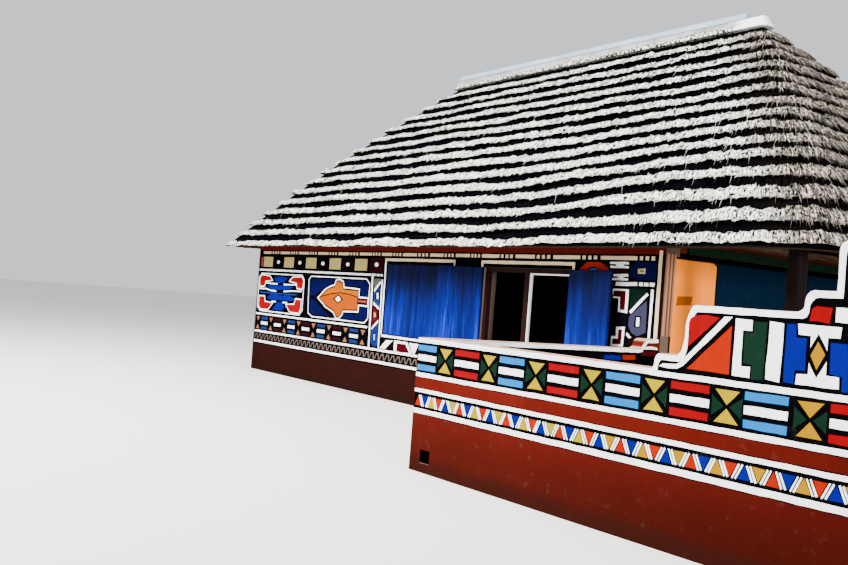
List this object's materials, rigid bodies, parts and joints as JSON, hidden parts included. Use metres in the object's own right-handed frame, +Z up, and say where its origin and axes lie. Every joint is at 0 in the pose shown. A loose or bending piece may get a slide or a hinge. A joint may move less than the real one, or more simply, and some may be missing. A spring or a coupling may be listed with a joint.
{
  "type": "painted thatched house with courtyard wall",
  "caption": "Rectangular thatched house with rounded hips, painted plaster front, shuttered windows, end veranda on posts and a stepped painted courtyard wall.",
  "frame": {"origin": "on the ground at the middle of the four house walls", "axes": "+X along the painted front towards the veranda, +Y into the house, +Z up"},
  "size_m": [15.635, 9.03, 5.8332],
  "materials": {
    "painted_wall": "limewash and pigment on mud plaster",
    "teal_wall": "limewash and pigment on mud plaster",
    "cream_trim": "limewash",
    "courtyard_paint": "limewash and pigment on mud plaster",
    "floor": "trowelled floor",
    "frame_wood": "stained",
    "shutter_paint": "painted planks",
    "post_wood": "dark stained",
    "pole_wood": "peeled poles",
    "green_paint": "painted",
    "thatch": "dry grass, laid in bundles",
    "thatch_edge": "dry grass, cut butts",
    "cap_plaster": "whitewashed mortar",
    "strip_metal": "weathered sheet"
  },
  "bodies": {
    "root": {"house_floor": "floor", "veranda_floor": "floor", "front_wall": "painted_wall", "back_wall": "painted_wall", "left_end_wall": "painted_wall", "right_end_wall": "teal_wall", "corner_mouldings": "cream_trim", "window_1_frame": "frame_wood", "window_2_frame": "frame_wood", "back_window_frames": "frame_wood", "window_1_shutters": "shutter_paint", "window_2_shutters": "shutter_paint", "back_window_shutters": "shutter_paint", "door_frame": "frame_wood", "front_plate": "pole_wood", "back_plate": "pole_wood", "left_plate": "pole_wood", "right_plate": "pole_wood", "veranda_beam": "pole_wood", "green_beam": "green_paint", "veranda_posts": "post_wood", "ridge_board": "pole_wood", "front_rafters": "pole_wood", "back_rafters": "pole_wood", "end_rafters": "pole_wood", "hip_rafters": "pole_wood", "thatch_front": "thatch", "thatch_back": "thatch", "thatch_left": "thatch", "thatch_right": "thatch", "thatch_courses_1": "thatch_edge", "thatch_courses_2": "thatch_edge", "thatch_courses_3": "thatch_edge", "thatch_courses_4": "thatch_edge", "thatch_courses_5": "thatch_edge", "ridge_cap": "cap_plaster", "ridge_strip": "strip_metal", "courtyard_front_wall": "courtyard_paint", "courtyard_side_wall": "courtyard_paint"}
  },
  "joints": []
}
